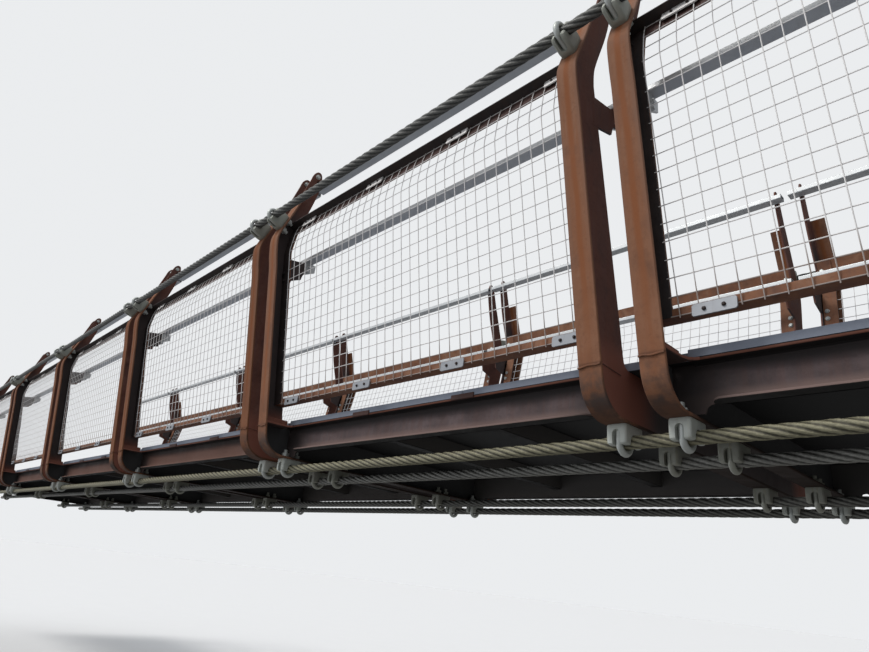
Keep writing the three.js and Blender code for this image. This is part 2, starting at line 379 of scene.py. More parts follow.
class Nodes:
    """Short calls for building one material's nodes."""

    def __init__(self, name):
        self.material = bpy.data.materials.new(name)
        self.material.use_nodes = True
        self.tree = self.material.node_tree
        self.shader = self.tree.nodes["Principled BSDF"]
        self.local = self.node("ShaderNodeTexCoord").outputs["Object"]
        shift = self.node("ShaderNodeVectorMath", operation="ADD")
        self.feed(shift.inputs[0], self.local)
        self.feed(shift.inputs[1], self.node("ShaderNodeObjectInfo").outputs["Location"])
        self.place = shift.outputs[0]

    def node(self, kind, **settings):
        made = self.tree.nodes.new(kind)
        for key, value in settings.items():
            setattr(made, key, value)
        return made

    def feed(self, socket, value):
        if isinstance(value, bpy.types.NodeSocket):
            self.tree.links.new(value, socket)
        else:
            socket.default_value = value

    def scaled(self, scale):
        made = self.node("ShaderNodeMapping")
        self.feed(made.inputs["Vector"], self.place)
        made.inputs["Scale"].default_value = scale
        return made.outputs["Vector"]

    def noise(self, scale, detail=4.0, roughness=0.55, place=None, distortion=0.0):
        made = self.node("ShaderNodeTexNoise")
        self.feed(made.inputs["Vector"], place or self.place)
        made.inputs["Scale"].default_value = scale
        made.inputs["Detail"].default_value = detail
        made.inputs["Roughness"].default_value = roughness
        made.inputs["Distortion"].default_value = distortion
        return made.outputs["Fac"]

    def span(self, value, start, end, low=0.0, high=1.0):
        """A smooth step from low at start to high at end."""
        made = self.node("ShaderNodeMapRange", interpolation_type="SMOOTHSTEP")
        self.feed(made.inputs["Value"], value)
        for key, number in (("From Min", start), ("From Max", end), ("To Min", low), ("To Max", high)):
            made.inputs[key].default_value = number
        return made.outputs["Result"]

    def ramp(self, value, stops):
        made = self.node("ShaderNodeValToRGB")
        self.feed(made.inputs["Fac"], value)
        ramp = made.color_ramp
        while len(ramp.elements) < len(stops):
            ramp.elements.new(0.5)
        for element, (at, colour) in zip(ramp.elements, stops):
            element.position = at
            element.color = (*colour, 1)
        return made.outputs["Color"]

    def mix(self, factor, a, b, blend="MIX"):
        made = self.node("ShaderNodeMix", data_type="RGBA", blend_type=blend)
        self.feed(made.inputs["Factor"], factor)
        for socket, value in ((made.inputs[6], a), (made.inputs[7], b)):
            self.feed(socket, (*value, 1) if isinstance(value, tuple) else value)
        return made.outputs[2]

    def maths(self, operation, a, b=0.0):
        made = self.node("ShaderNodeMath", operation=operation)
        self.feed(made.inputs[0], a)
        self.feed(made.inputs[1], b)
        return made.outputs[0]

    def absolute(self, value):
        return self.maths("ABSOLUTE", value)

    def larger(self, a, b):
        return self.maths("MAXIMUM", a, b)

    def times(self, *values):
        total = values[0]
        for value in values[1:]:
            total = self.maths("MULTIPLY", total, value)
        return total

    def waver(self, scale, reach):
        """A slow wandering about zero, used to bend the edges of a tone."""
        return self.times(self.maths("SUBTRACT", self.noise(scale, 3.0), 0.5), reach)

    def split(self, place):
        made = self.node("ShaderNodeSeparateXYZ")
        self.feed(made.inputs[0], place)
        return made.outputs

    def facing_down(self, start=-0.3, end=-0.8):
        """One on faces that look down, and zero on upright ones."""
        normal = self.node("ShaderNodeNewGeometry").outputs["True Normal"]
        return self.span(self.split(normal)[2], start, end)

    def bump(self, height, strength, distance, below=None):
        made = self.node("ShaderNodeBump")
        self.feed(made.inputs["Height"], height)
        made.inputs["Strength"].default_value = strength
        made.inputs["Distance"].default_value = distance
        if below:
            self.feed(made.inputs["Normal"], below)
        return made.outputs["Normal"]

    def finish(self, colour, roughness, metallic=0.0, normal=None, specular=0.5):
        self.feed(self.shader.inputs["Base Color"], colour)
        self.feed(self.shader.inputs["Roughness"], roughness)
        self.shader.inputs["Metallic"].default_value = metallic
        self.shader.inputs["Specular IOR Level"].default_value = specular
        if normal:
            self.feed(self.shader.inputs["Normal"], normal)
        return self.material


def weathered(n, dark, mid, light, run_colour, runs):
    """Blotches, runs that go down the steel, and a fine sandy grain."""
    blotch = n.noise(9.0, 6.0, 0.62, distortion=0.4)
    grain = n.noise(420.0, 3.0, 0.7)
    fine = n.noise(70.0, 5.0, 0.65)
    down = n.noise(1.0, 5.0, 0.6, n.scaled((60.0, 26.0, 2.2)), 0.3)
    base = n.ramp(blotch, [(0.30, dark), (0.48, mid), (0.66, light)])
    base = n.mix(n.times(n.span(down, 0.42, 0.62), runs), base, run_colour)
    base = n.mix(n.span(fine, 0.50, 0.74, 0.0, 0.45), base, dark)
    base = n.mix(n.span(grain, 0.48, 0.75, 0.0, 0.3), base, light)
    rough = n.span(blotch, 0.3, 0.7, 0.66, 0.88)
    normal = n.bump(grain, 0.25, 0.0006)
    normal = n.bump(fine, 0.3, 0.0012, normal)
    return base, rough, normal


def rust(name, dark, mid, light, run_colour, shine=0.25):
    """Weathering steel with faint runs."""
    n = Nodes(name)
    base, rough, normal = weathered(n, dark, mid, light, run_colour, 0.3)
    return n.finish(base, rough, 0.0, normal, shine)


def flange_rust():
    """Weathering steel with an orange band that runs down the middle of each leg, and painted shade on faces
    that look down and where the flange runs under the floor.
    """
    n = Nodes("flange_rust")
    base, rough, normal = weathered(n, (0.135, 0.062, 0.036), (0.212, 0.097, 0.054), (0.240, 0.122, 0.075),
                                    (0.212, 0.083, 0.039), 0.45)
    x, y, z = n.split(n.local)
    side = n.absolute(y)
    across = n.absolute(n.maths("ADD", x, n.waver(3.0, 0.022)))
    band = n.times(n.span(across, 0.015, 0.003), n.span(z, 0.16, 0.55, 0.15, 0.85))
    base = n.mix(band, base, (0.215, 0.074, 0.028))
    pale_edge = n.times(n.span(across, 0.018, 0.032), n.span(z, 0.18, 0.8, 0.1, 0.6))
    base = n.mix(pale_edge, base, (0.190, 0.105, 0.073))
    dirt = n.times(n.span(z, 0.215, 0.15), n.span(n.noise(16.0, 6.0, 0.65), 0.40, 0.60), 0.62)
    base = n.mix(dirt, base, (0.070, 0.048, 0.040))
    outer = n.span(side, 0.70, 0.76)
    dark_bend = n.times(n.span(z, 0.165, 0.115), outer, n.span(n.noise(11.0, 3.0), 0.42, 0.56), 0.8)
    base = n.mix(dark_bend, base, (0.045, 0.042, 0.042))
    from_joint = n.absolute(n.maths("SUBTRACT", z, JOINT_Z / 1000 + 0.004))
    base = n.mix(n.times(n.span(from_joint, 0.007, 0.001), outer, 0.4), base, (0.055, 0.026, 0.018))
    left_bays = n.span(n.split(n.place)[0], 1.87, 1.82)
    base = n.mix(n.times(left_bays, 0.85), base, (0.80, 0.71, 0.62), "MULTIPLY")
    # Painted shade: darker on faces that look down
    base = n.mix(n.times(n.facing_down(-0.6, -0.97), 0.75), base, (0.070, 0.036, 0.025))
    # Painted shade: near-black where the flange runs under the floor
    under_floor_shade = n.span(side, 0.66, 0.56)
    base = n.mix(n.times(under_floor_shade, 0.9), base, (0.016, 0.012, 0.011))
    return n.finish(base, rough, 0.0, normal, 0.15)


def web_rust():
    """Weathering steel with painted shade: nearly black on the face that looks into the bay, below the deck
    and behind the net, on faces that look down and under the floor.
    """
    n = Nodes("web_rust")
    base, rough, normal = weathered(n, (0.070, 0.032, 0.025), (0.120, 0.055, 0.043), (0.152, 0.076, 0.062),
                                    (0.145, 0.052, 0.032), 0.4)
    x, y, z = n.split(n.local)
    depth = n.absolute(x)
    # Painted shade: near-black on the inner face below the deck and behind the net, on faces that look down
    # and under the floor
    inner_face = n.times(n.span(depth, 0.0246, 0.0256), n.span(depth, 0.0275, 0.0265))
    below_deck = n.span(z, 0.223, 0.219)
    behind_net = n.times(n.span(z, 0.24, 0.32, 0.0, 0.8), n.span(z, 1.36, 1.20))
    dark = n.larger(n.times(inner_face, n.larger(below_deck, behind_net)), n.times(n.facing_down(), 0.75))
    under_floor_shade = n.span(n.absolute(y), 0.62, 0.50)
    dark = n.larger(dark, n.times(under_floor_shade, 0.9))
    foot = n.span(z, 0.30, 0.22, 0.0, 0.75)
    base = n.mix(foot, base, (0.235, 0.094, 0.066))
    return n.finish(n.mix(dark, base, (0.058, 0.058, 0.060)), rough, 0.0, normal, 0.15)


def beam_rust():
    """Purple-brown steel with painted shade under the top flange, near the frames and on faces that look
    down; the joists in the middle of the floor are an even grey-brown.
    """
    n = Nodes("beam_rust")
    base, rough, normal = weathered(n, (0.056, 0.040, 0.040), (0.090, 0.067, 0.068), (0.126, 0.096, 0.097),
                                    (0.116, 0.060, 0.047), 0.25)
    x, y, z = n.split(n.local)
    side = n.absolute(y)
    height = n.maths("ADD", z, n.waver(5.0, 0.012))
    pale_fringe = n.span(height, 0.152, 0.124, 0.0, 0.85)
    base = n.mix(pale_fringe, base, (0.190, 0.130, 0.115))
    left_bays = n.span(x, 2.0, 1.4, 0.0, 0.75)
    base = n.mix(left_bays, base, (0.118, 0.056, 0.038))
    # Painted shade: darker under the top flange and near the frames
    from_frames = n.maths("PINGPONG", x, PITCH / 2000)
    painted_shade = n.larger(n.span(height, 0.172, 0.202), n.span(from_frames, 0.30, 0.10))
    base = n.mix(n.times(painted_shade, 0.85), base, (0.022, 0.020, 0.020))
    joists = n.span(side, 0.639, 0.635)
    base = n.mix(n.times(joists, 0.9), base, (0.080, 0.076, 0.073))
    # Painted shade: near-black on faces that look down
    base = n.mix(n.facing_down(), base, (0.014, 0.013, 0.013))
    top_edge = n.times(n.span(side, 0.677, 0.679), n.span(z, 0.2125, 0.2145))
    base = n.mix(top_edge, base, (0.125, 0.050, 0.034))
    return n.finish(base, rough, 0.0, normal, 0.2)


def net_foot(n):
    """The foot of the net, in the deck's shade."""
    return n.span(n.split(n.place)[2], 0.42, 0.35)


def middle_ropes(n):
    """Painted shade on the clamps of the two ropes under the middle of the floor."""
    return n.span(n.absolute(n.split(n.place)[1]), 0.55, 0.45)


def galvanised(name, dark, light, stain, worn, rough=(0.38, 0.62), metallic=0.45, shaded=None, shade=None):
    """Hot-dip zinc: a faint crystal pattern, dull runs and a few stains.

    Where the function shaded says so, its colour is multiplied by shade.
    """
    n = Nodes(name)
    cells = n.node("ShaderNodeTexVoronoi", feature="F1")
    n.feed(cells.inputs["Vector"], n.place)
    cells.inputs["Scale"].default_value = 90.0
    crystal = n.split(cells.outputs["Color"])[0]
    cloud = n.noise(14.0, 5.0, 0.6)
    down = n.noise(1.0, 4.0, 0.6, n.scaled((70.0, 30.0, 5.0)), 0.2)
    base = n.mix(cloud, dark, light)
    base = n.mix(n.times(crystal, 0.22), base, light)
    base = n.mix(n.span(down, 0.55, 0.78, 0.0, worn), base, stain)
    if shaded:
        base = n.mix(shaded(n), base, shade, "MULTIPLY")
    roughness = n.span(cloud, 0.3, 0.7, *rough)
    normal = n.bump(n.noise(160.0, 4.0, 0.6), 0.12, 0.0005)
    return n.finish(base, roughness, metallic, normal)


def rope_steel(name, groove, body, crest):
    """Wire strands: fine wires along the rope, darker towards the grooves between strands."""
    n = Nodes(name)
    _, y, z = n.split(n.local)
    radius = n.maths("SQRT", n.maths("ADD", n.times(y, y), n.times(z, z)))
    groove_r, crest_r = 0.0138, 0.0172
    depth = n.span(radius, groove_r, crest_r)
    wires = n.noise(1.0, 2.0, 0.5, n.scaled((22.0, 900.0, 900.0)))
    patch = n.noise(5.0, 5.0, 0.6)
    base = n.mix(n.span(wires, 0.35, 0.65), body, crest)
    base = n.mix(n.span(patch, 0.42, 0.66, 0.0, 0.55), base, body)
    base = n.mix(depth, groove, base)
    normal = n.bump(wires, 0.6, 0.0008)
    return n.finish(base, 0.6, 0.2, normal)


def gritty(name, dark, light):
    """Deck panels: a coarse non-slip grit in dull paint, with painted shade on faces that look down."""
    n = Nodes(name)
    cloud = n.noise(6.0, 5.0, 0.6)
    grit = n.noise(520.0, 2.0, 0.7)
    base = n.mix(cloud, dark, light)
    base = n.mix(n.span(grit, 0.5, 0.7, 0.0, 0.5), base, dark)
    surface = BEAM_TOP + DECK_T
    top = n.span(n.split(n.local)[2], (surface - 2) / 1000, (surface - 0.5) / 1000, 0.15, 1.0)
    # Painted shade: near-black on faces that look down
    base = n.mix(n.facing_down(), base, (0.014, 0.014, 0.015))
    normal = n.bump(n.times(grit, top), 0.7, 0.0016)
    return n.finish(base, 0.82, 0.0, normal, 0.35)


def plain(name, colour, roughness):
    """An even matt colour with the faintest clouds."""
    n = Nodes(name)
    return n.finish(n.mix(n.noise(3.0, 2.0), colour, tuple(c * 0.97 for c in colour)), roughness)


FLANGE_RUST = flange_rust()
WEB_RUST = web_rust()
RAIL_RUST = rust("rail_rust", (0.10, 0.043, 0.026), (0.175, 0.080, 0.046),
                 (0.25, 0.13, 0.080), (0.22, 0.078, 0.030))
SHADED_RUST = rust("shaded_rust", (0.034, 0.018, 0.016), (0.060, 0.032, 0.028),
                   (0.084, 0.050, 0.044), (0.078, 0.032, 0.022))
# Near-black rust, used as painted shade on the top angle's shelf and on the end bars' outer layer, and on
# some bolts
DARK_STEEL_AND_SHADE = rust("dark_steel_and_painted_shade", (0.020, 0.017, 0.017), (0.034, 0.028, 0.028),
                  (0.052, 0.042, 0.040), (0.060, 0.032, 0.022), 0.3)
BEAM_RUST = beam_rust()
ZINC = galvanised("zinc", (0.34, 0.36, 0.345), (0.54, 0.56, 0.54), (0.33, 0.295, 0.20), 0.4,
                  shaded=middle_ropes, shade=(0.68, 0.66, 0.60))
DECK_CAST = galvanised("deck_cast", (0.31, 0.325, 0.30), (0.50, 0.52, 0.48), (0.31, 0.27, 0.15), 0.6,
                       (0.5, 0.7), 0.2, middle_ropes, (0.62, 0.60, 0.56))
TOP_CAST = galvanised("top_cast", (0.22, 0.23, 0.20), (0.37, 0.38, 0.335), (0.22, 0.19, 0.11), 0.5,
                      (0.5, 0.7), 0.25)
RAIL_ZINC = galvanised("rail_zinc", (0.44, 0.455, 0.46), (0.62, 0.635, 0.64), (0.36, 0.355, 0.335), 0.3,
                       (0.36, 0.52), 0.35)
NET_ZINC = galvanised("net_zinc", (0.60, 0.58, 0.57), (0.80, 0.78, 0.77), (0.50, 0.44, 0.40), 0.25,
                      (0.45, 0.65), 0.1, net_foot, (0.46, 0.40, 0.37))
CLIP_ZINC = galvanised("clip_zinc", (0.23, 0.24, 0.26), (0.33, 0.345, 0.37), (0.19, 0.18, 0.175), 0.25)
DECK_PAINT = gritty("deck_paint", (0.175, 0.195, 0.240), (0.245, 0.270, 0.325))
ROPE = rope_steel("rope_wires", (0.028, 0.024, 0.015), (0.155, 0.143, 0.092), (0.29, 0.272, 0.180))
SECOND_ROPE = rope_steel("second_rope_wires", (0.022, 0.021, 0.018), (0.155, 0.152, 0.140),
                         (0.29, 0.287, 0.265))
# The two middle ropes take a darker copy of the rope's colours, as painted shade under the floor
INNER_ROPE = rope_steel("inner_rope_wires", (0.016, 0.015, 0.013), (0.095, 0.094, 0.084),
                        (0.175, 0.173, 0.155))
TOP_ROPE = rope_steel("top_rope_wires", (0.018, 0.018, 0.017), (0.085, 0.085, 0.078), (0.17, 0.17, 0.16))


# Frames: outlines of the +Y half, as points of Y and Z. The outer edge is the
# foot's bend, the straight leg and LEG_TOP; the web goes on round TIP, down INNER
# and round KNEE to its level edge under the deck.

FOOT_ARC = arc(FOOT_BEND["y"], FRAME_FOOT + FOOT_BEND["r"], FOOT_BEND["r"], -90, -8.7, 14)
LEG_TOP = smooth_curve([(934, ROPE_Z + 968), (944, ROPE_Z + 1040), (935, ROPE_Z + 1092),
                        (897, ROPE_Z + 1200), (806, ROPE_Z + 1478)], 6)
TIP = smooth_curve([(806, ROPE_Z + 1478), (793, ROPE_Z + 1526), (771, ROPE_Z + 1550),
                    (750, ROPE_Z + 1544), (742, ROPE_Z + 1510)], 4)
INNER = smooth_curve([(742, ROPE_Z + 1510), (744, ROPE_Z + 1448), (780, ROPE_Z + 1290), (829, ROPE_Z + 1145),
                      (845, ROPE_Z + 1085), (846, ROPE_Z + 1030)], 5)
KNEE = smooth_curve([(703, ROPE_Z + 290), (686, BEAM_TOP + 18), (664, BEAM_TOP - CLEAR)], 4)
LUG = [(706, HANDRAIL["bottom"] - CLEAR), (745, HANDRAIL["bottom"] - CLEAR), (752, ROPE_Z + 1010),
       (850, ROPE_Z + 992), (850, ROPE_Z + 884), (800, ROPE_Z + 900), (747, ROPE_Z + 916),
       (738, ROPE_Z + 950), (706, ROPE_Z + 967)]


def leg_points(z_end):
    """Outer edge of half a frame, from the middle of its foot up to z_end."""
    leg = [(LEG_FOOT[0] + LEG_SLOPE * (z - LEG_FOOT[1]), z) for z in range(220, 1000, 60)]
    points = FOOT_ARC + leg + [p for p in LEG_TOP if p[1] < z_end]
    top = LEG_TOP[-1]
    before = points[-1]
    share = (z_end - before[1]) / (top[1] - before[1])
    return points + [(before[0] + share * (top[0] - before[0]), z_end)]


def web_outline():
    """The web stops inside the thickness of the flange."""
    into_flange = 4
    half = shifted(leg_points(FLANGE_END), into_flange)[:-1] + TIP[1:] + INNER[1:] + KNEE
    return half + mirrored(half)


def flange_path():
    half = leg_points(FLANGE_END)
    return mirrored(half) + half


def swept(path, profile):
    """A profile of (x, depth) points swept along a path, with depth to the path's left."""
    lines = [shifted(path, depth) for _, depth in profile]
    return loft([[(x, *line[i]) for (x, _), line in zip(profile, lines)] for i in range(len(path))])


def flange_profile():
    a, t, c = FLANGE / 2, FLANGE_T, 2.0
    return [(-a + c, 0), (a - c, 0), (a, c), (a, t - c), (a - c, t), (-a + c, t), (-a, t - c), (-a, c)]


def add_joint_weld(mesh, side, out, tilt):
    """The bead where the bent foot meets the straight leg, on the flange and on the web."""
    across = [-FLANGE / 2 + 1 + (FLANGE - 2) * t / 10 for t in range(11)]
    bead = [(x, side * (JOINT_FACE + 0.9 + 0.5 * math.sin(0.21 * x)), JOINT_Z + tilt * x / FLANGE
             + 1.4 * math.sin(0.13 * x + 2 * out)) for x in across]
    mesh.add(tube(bead, 3.0, 8))
    web = out * (FLANGE / 2 - 0.2)
    down = [(web, side * y, JOINT_Z + 4 + 0.06 * (y - JOINT_FACE)) for y in range(793, 700, -10)]
    mesh.add(tube(down, 2.6, 8), 1)


def add_floor_plate(mesh, side, out):
    """The plate at deck height with a curved gusset at its toe, and the rib on it."""
    inner, outer = side * (BEAM_Y + 2), side * FLOOR_PLATE["outer"]
    low = BEAM_TOP - FLOOR_PLATE["t"]
    mesh.add(block((-FLANGE / 2, inner, low), (FLANGE / 2 - 1, outer, BEAM_TOP)), 1)
    toe = -out * FLANGE / 2
    curve = [(FLOOR_PLATE["toe"], 0), (18, 3), (8, 12), (2, 30)]
    gusset = [(toe, outer), (toe, inner)] + [(toe - out * u, inner + side * w) for u, w in curve]
    mesh.add(plate(gusset, low, BEAM_TOP, 0.8, "z"), 1)
    rib, half = -out * RIB["x"], RIB["t"] / 2
    mesh.add(block((rib - half, inner, BEAM_TOP - 2), (rib + half, outer, BEAM_TOP + RIB["height"])), 1)


def frame_piece(name, x_frame, out, tilt):
    """One frame, in its own frame of reference: X = 0 is the middle of the flange."""
    mesh = Mesh()
    web = [out * x for x in WEB_X]
    inside = out * WEB_X[0]
    mesh.add(plate(web_outline(), *web), 1)
    path = flange_path()
    mesh.add(swept(path, flange_profile()))
    fillet = [(inside, FLANGE_T - 0.5), (inside - out * 6, FLANGE_T - 0.5), (inside, FLANGE_T + 6)]
    mesh.add(swept(path, fillet), 1)
    for side in (-1, 1):
        lug = [(side * y, z) for y, z in LUG]
        mesh.add(plate(lug, inside, out * FLANGE / 2), 1)
        add_floor_plate(mesh, side, out)
        near, far = side * (TOP_BAR["outer"] + CLEAR), side * PAD["outer"]
        low, high = TOP_BAR["bottom"] - PAD["edge"], TOP_BAR["top"] + PAD["edge"]
        mesh.add(plate([(near, low), (far, low), (far, high), (near, high)], *web, 0.8), 1)
        add_joint_weld(mesh, side, out, tilt)
        for face, way in ((WEB_X[1], 1), (WEB_X[0], -1)):
            bolt = (out * face, side * TIP_BOLT[0], TIP_BOLT[1])
            add_bolt(mesh, bolt, (out * way, 0, 0), 12, paint=2)
    return mesh.piece(name, [FLANGE_RUST, WEB_RUST, ZINC], "frame_steel", (x_frame, 0, 0))


# Rope clamps

def saddle_shape(sizes, arch):
    """One saddle: a boss with a groove for the rope and an arched recess for each bolt leg.

    Its rope runs along X through the origin and its flange lies at -Z. Each of
    sizes is a height with the boss's half length and half width there.
    """
    body = Mesh()
    body.add(loft([[(x, y, w) for x, y in rounded(*size, 8)] for w, size in sizes]))
    saddle = body.piece("saddle_master", [ZINC], None)
    # The cutters run out past the body
    past, above = 90, 60
    rope = Mesh()
    circle = arc(0, 0, GROOVE_R, 0, 345, 23)
    rope.add(loft([[(x, y, z) for y, z in circle] for x in (-past, past)]))
    opening = Mesh()
    opening.add(block((-past, -GROOVE_R, 1), (past, GROOVE_R, above), 0.1))
    cutters = [rope.piece("groove_cutter", [ZINC], None), opening.piece("mouth_cutter", [ZINC], None)]
    for side in (-1, 1):
        slot = Mesh()
        r = BOLT_SLOT_R
        outline = arc(0, arch + r, r, 180, 360, 12) + [(r, above), (-r, above)]
        slot.add(plate(outline, side * (BEND_R - BOLT_R - 1), side * past, 0.1, "y"))
        cutters.append(slot.piece("slot_cutter", [ZINC], None))
    for cutter in cutters:
        modifier = saddle.modifiers.new("cut", "BOOLEAN")
        modifier.operation = "DIFFERENCE"
        modifier.solver = "EXACT"
        modifier.object = cutter
    graph = bpy.context.evaluated_depsgraph_get()
    cut = bpy.data.meshes.new_from_object(saddle.evaluated_get(graph))
    verts = [tuple(c * 1000 for c in v.co) for v in cut.vertices]
    faces = [list(p.vertices) for p in cut.polygons]
    bpy.data.meshes.remove(cut)
    for obj in [saddle, *cutters]:
        data = obj.data
        bpy.data.objects.remove(obj)
        bpy.data.meshes.remove(data)
    return verts, faces


def clamp_mesh(reach, saddle, stub, paint):
    """Saddle, U-bolt, washers and nuts of one clamp, with the rope at the origin.

    The bolt's legs go through the flange and end stub past their nuts.
    """
    mesh = Mesh()
    mesh.add(saddle, paint)
    back = -(reach + FLANGE_T)
    tip = back - WASHER["t"] - NUT["t"] - stub
    bend = [(0, BEND_R * math.cos(t), BEND_R * math.sin(t)) for t in [math.pi * k / 16 for k in range(17)]]
    legs = [(0, BEND_R, w) for w in (tip, -reach, -8)]
    mesh.add(tube(legs + bend + [(0, -BEND_R, w) for _, _, w in legs[::-1]], BOLT_R, 16))
    for side in (-1, 1):
        mesh.add(disc((0, side * BEND_R, back), (0, 0, -1), WASHER["r"], WASHER["t"], 24, 0.5))
        mesh.add(disc((0, side * BEND_R, back - WASHER["t"]), (0, 0, -1), NUT["r"], NUT["t"], 6, 1.2))
    return mesh


def moved(shape, y, z, angle):
    """A shape turned about X by angle, then moved."""
    verts, faces = shape
    ca, sa = math.cos(angle), math.sin(angle)
    return [(vx, vy * ca - vz * sa + y, vy * sa + vz * ca + z) for vx, vy, vz in verts], faces


DECK_SADDLE = saddle_shape([(-DECK_REACH, (28, 44)), (-39, (29, 45)), (-8, (29, 45)), (7, (28, 44)),
                            (10.5, (25, 41))], -28)
TOP_SADDLE = saddle_shape([(-TOP_REACH, (22, 38)), (-57, (24, 41)), (-42, (25, 43)), (-22, (25, 43)),
                           (-2, (25, 42)), (8, (23, 39)), (11.5, (19, 36))], -38)
DECK_CLAMP = clamp_mesh(DECK_REACH, DECK_SADDLE, 15, 1)
TOP_CLAMP = clamp_mesh(TOP_REACH, TOP_SADDLE, 13, 2)


def clamps_piece(name, x_frame):
    """The six clamps of one frame; the top ones stand square on the sloping flange."""
    mesh = Mesh()
    places = [(DECK_CLAMP, y, ROPE_Z, math.pi) for y in DECK_ROPE_Y]
    places += [(TOP_CLAMP, side * TOP_ROPE_Y, TOP_ROPE_Z, -side * TOP_CLAMP_LEAN) for side in (-1, 1)]
    for clamp, y, z, angle in places:
        mesh.add(moved((clamp.verts, clamp.faces), y, z, angle), clamp.paint)
    return mesh.piece(name, [ZINC, DECK_CAST, TOP_CAST], "galvanised_steel", (x_frame, 0, 0))


# Side panels

NET_PATH = softened(NET_CORNERS, 20)


def angle_point(across, up):
    """A point of the top angle, out along its shelf and up along its leg from their inner corner."""
    a = math.radians(TOP_ANGLE["lean"])
    y, z = TOP_ANGLE["corner"]
    return y + across * math.cos(a) - up * math.sin(a), z + across * math.sin(a) + up * math.cos(a)


def net_frame_piece(name, x_bay, side):
    """The rails and end bars that hold the net, each end bar in a near-black outer layer of painted shade and
    a rusty inner layer.
    """
    mesh = Mesh()
    x0, x1 = x_bay - RAIL_REACH, x_bay + RAIL_REACH
    low = BOTTOM_RAIL
    mesh.add(block((x0, side * low["inner"], low["bottom"]), (x1, side * low["outer"], low["top"]), 2.5))
    t, leg, shelf = TOP_ANGLE["t"], TOP_ANGLE["leg"], TOP_ANGLE["shelf"]
    inner_leg = [(-t, t), (-t, -leg), (-2, -leg), (-2, t)]
    outer_leg = [(-2.2, t), (-2.2, -leg), (0, -leg), (0, t)]
    top = [(-0.5, 0), (shelf, 0), (shelf, t - 0.4), (-0.5, t - 0.4)]
    # The outer leg's skin of shaded rust and the near-black shelf are painted shade; the inner leg is plain
    # rust
    for corners, paint in ((inner_leg, 0), (outer_leg, 3), (top, 1)):
        outline = [angle_point(*corner) for corner in corners]
        mesh.add(plate([(side * y, z) for y, z in outline], x0, x1, 0.8), paint)
    bar = [*NET_PATH[:-1], point_at(NET_PATH, path_length(NET_PATH) - 4)]
    front, back = END_BAR_LAYERS[0][0], END_BAR_LAYERS[-1][1]
    for end in (-1, 1):
        xa, xb = x_bay + end * (RAIL_REACH - 0.5), x_bay + end * (RAIL_REACH - END_BAR)
        # The outer layer's near-black is painted shade
        for near, far, paint in END_BAR_LAYERS:
            points = shifted(bar, near) + shifted(bar, far)[::-1]
            mesh.add(plate([(side * y, z) for y, z in points], xa, xb, 0.6), paint)
        for distance in END_BOLTS:
            y, z = point_at(NET_PATH, distance)
            x = x_bay + end * (HALF_BAY - END_BOLT_IN)
            add_bolt(mesh, (x, side * (y - back), z), (0, -side, 0.16), 9, paint=2)
            add_bolt(mesh, (x, side * (y - front), z), (0, side, -0.16), 8, 4, paint=1)
    return mesh.piece(name, [RAIL_RUST, DARK_STEEL_AND_SHADE, ZINC, SHADED_RUST], "frame_steel")


def net_piece(name, x_bay, side):
    """The square net, wire by wire, with the plates that clip it to its rails."""
    mesh = Mesh()
    reach = NET_PITCH * NET_COLUMNS / 2
    start = (NET_PATH[0][0] - 1.1, NET_PATH[0][1] - 7)
    wire = shifted([start, *NET_PATH], -WIRE_R)
    middle = (wire[0][1] + wire[-1][1]) / 2
    for i in range(NET_COLUMNS + 1):
        x = x_bay - reach + i * NET_PITCH
        mesh.add(tube([(x + side * NET_LEAN * (z - middle), side * y, z) for y, z in wire], WIRE_R, 6))
    across = shifted(NET_PATH, WIRE_R)
    ends = [x_bay + end * (reach + NET_OVERHANG) for end in (-1, 1)]
    for j in range(NET_ROWS + 1):
        y, z = point_at(across, path_length(across) * j / NET_ROWS)
        mesh.add(tube([(x, side * y, z) for x in ends], WIRE_R, 6))
    bottom = (NET_CORNERS[0][0] + 4, NET_CORNERS[0][1] + 0.5)
    for x in CLIP_X[side]:
        add_clip(mesh, x_bay + x, bottom, 0, side, 4.6, 1)
        # The top clips take the paler net zinc, a painted highlight against the shade under the shelf
        add_clip(mesh, x_bay + x, angle_point(*TOP_CLIP), TOP_ANGLE["lean"], side, 4, 0)
    return mesh.piece(name, [NET_ZINC, CLIP_ZINC, DARK_STEEL_AND_SHADE], "galvanised_steel")


def add_clip(mesh, x, middle, lean, side, bolt, paint):
    """A rounded plate over the net's edge wire, with two bolts through the rail.

    Its inner face has its middle at that point and leans inward by lean degrees.
    """
    ca, sa = math.cos(math.radians(lean)), math.sin(math.radians(lean))

    def at(along, out, up):
        return x + along, side * (middle[0] + out * ca - up * sa), middle[1] + out * sa + up * ca

    outline = rounded(CLIP["half"], CLIP["half_height"], CLIP["corner"], 4)
    layers = ((0, 1.0), (CLIP["t"] - 0.8, 1.0), (CLIP["t"], 0.985))
    mesh.add(loft([[at(u * s, d, w * s) for u, w in outline] for d, s in layers]), paint)
    for along in (-CLIP["bolt_x"], CLIP["bolt_x"]):
        add_bolt(mesh, at(along, CLIP["t"] - 0.2, 0), (0, side * ca, sa), bolt, 3, paint=2)


# Handrails and top bars

